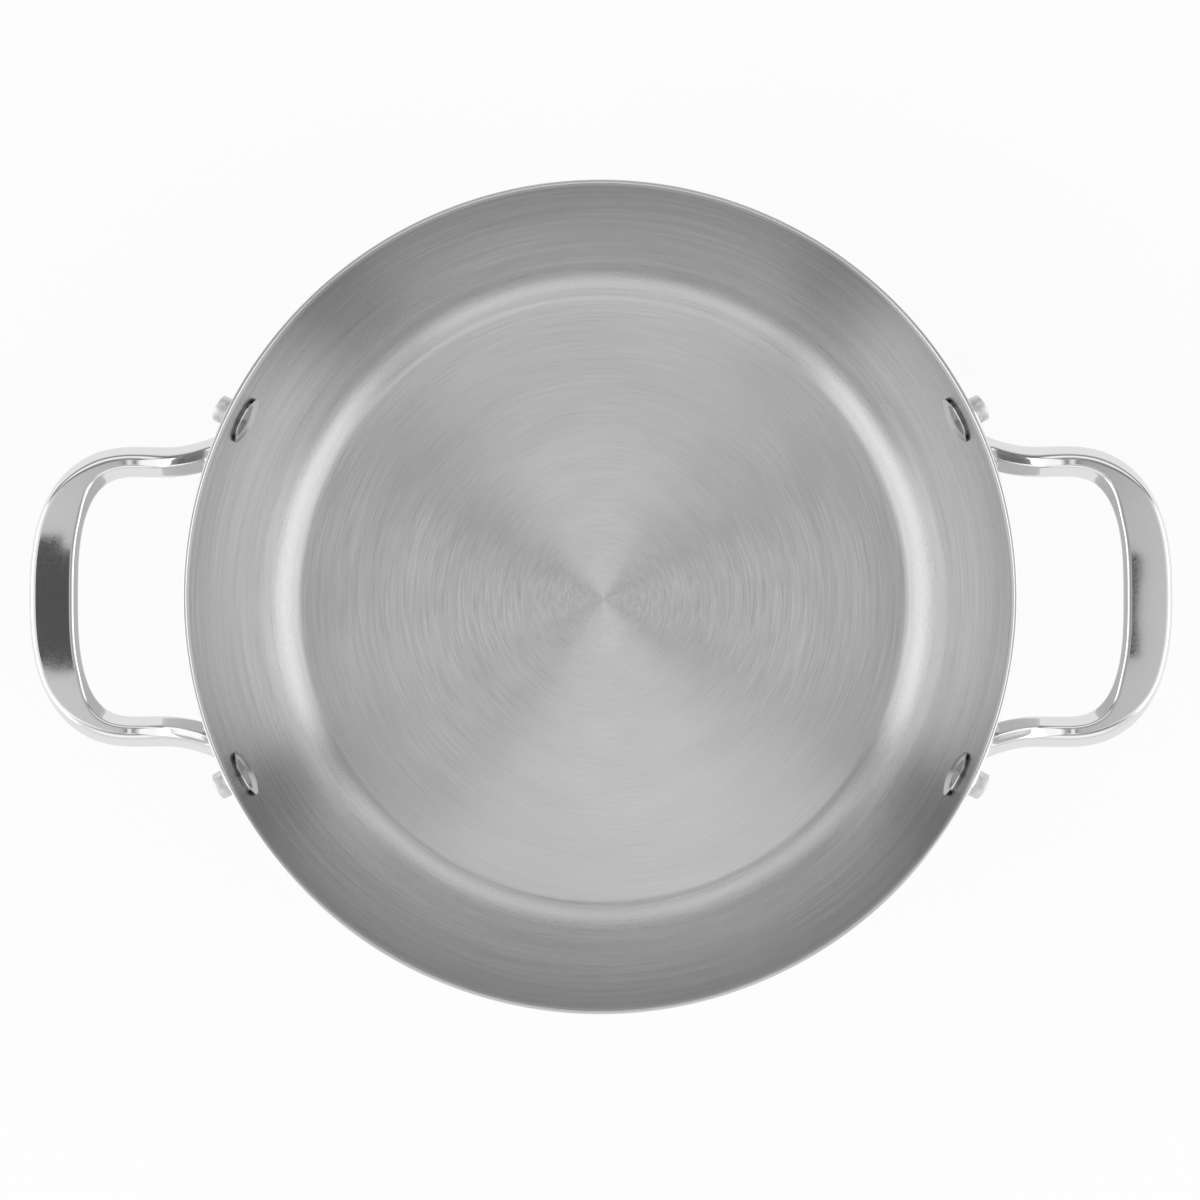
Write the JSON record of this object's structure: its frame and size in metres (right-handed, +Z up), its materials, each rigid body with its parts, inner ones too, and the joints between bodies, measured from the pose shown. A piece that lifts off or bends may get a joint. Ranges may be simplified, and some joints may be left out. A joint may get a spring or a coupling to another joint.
{
  "type": "casserole pot",
  "caption": "Round stainless steel casserole pot with a thin flared wall, rounded base corner, disc bottom and a riveted cast loop handle on each side.",
  "frame": {"origin": "on the pot's axis, in the plane that the base stands on", "axes": "+Z up along the pot's axis, +X through the middle of the right handle"},
  "size_m": [0.3312, 0.24, 0.1189],
  "materials": {
    "shell_steel": "circular brushed inside, satin outside",
    "core_aluminium": "plain rolled",
    "cap_steel": "turned rings",
    "handle_steel": "mirror polished casting",
    "rivet_steel": "polished"
  },
  "bodies": {
    "root": {"pot_body": "shell_steel", "core_disc": "core_aluminium", "base_cap": "cap_steel", "handle_right": "handle_steel", "handle_left": "handle_steel", "rivet_right_rear": "rivet_steel", "rivet_right_front": "rivet_steel", "rivet_left_front": "rivet_steel", "rivet_left_rear": "rivet_steel"}
  },
  "joints": []
}
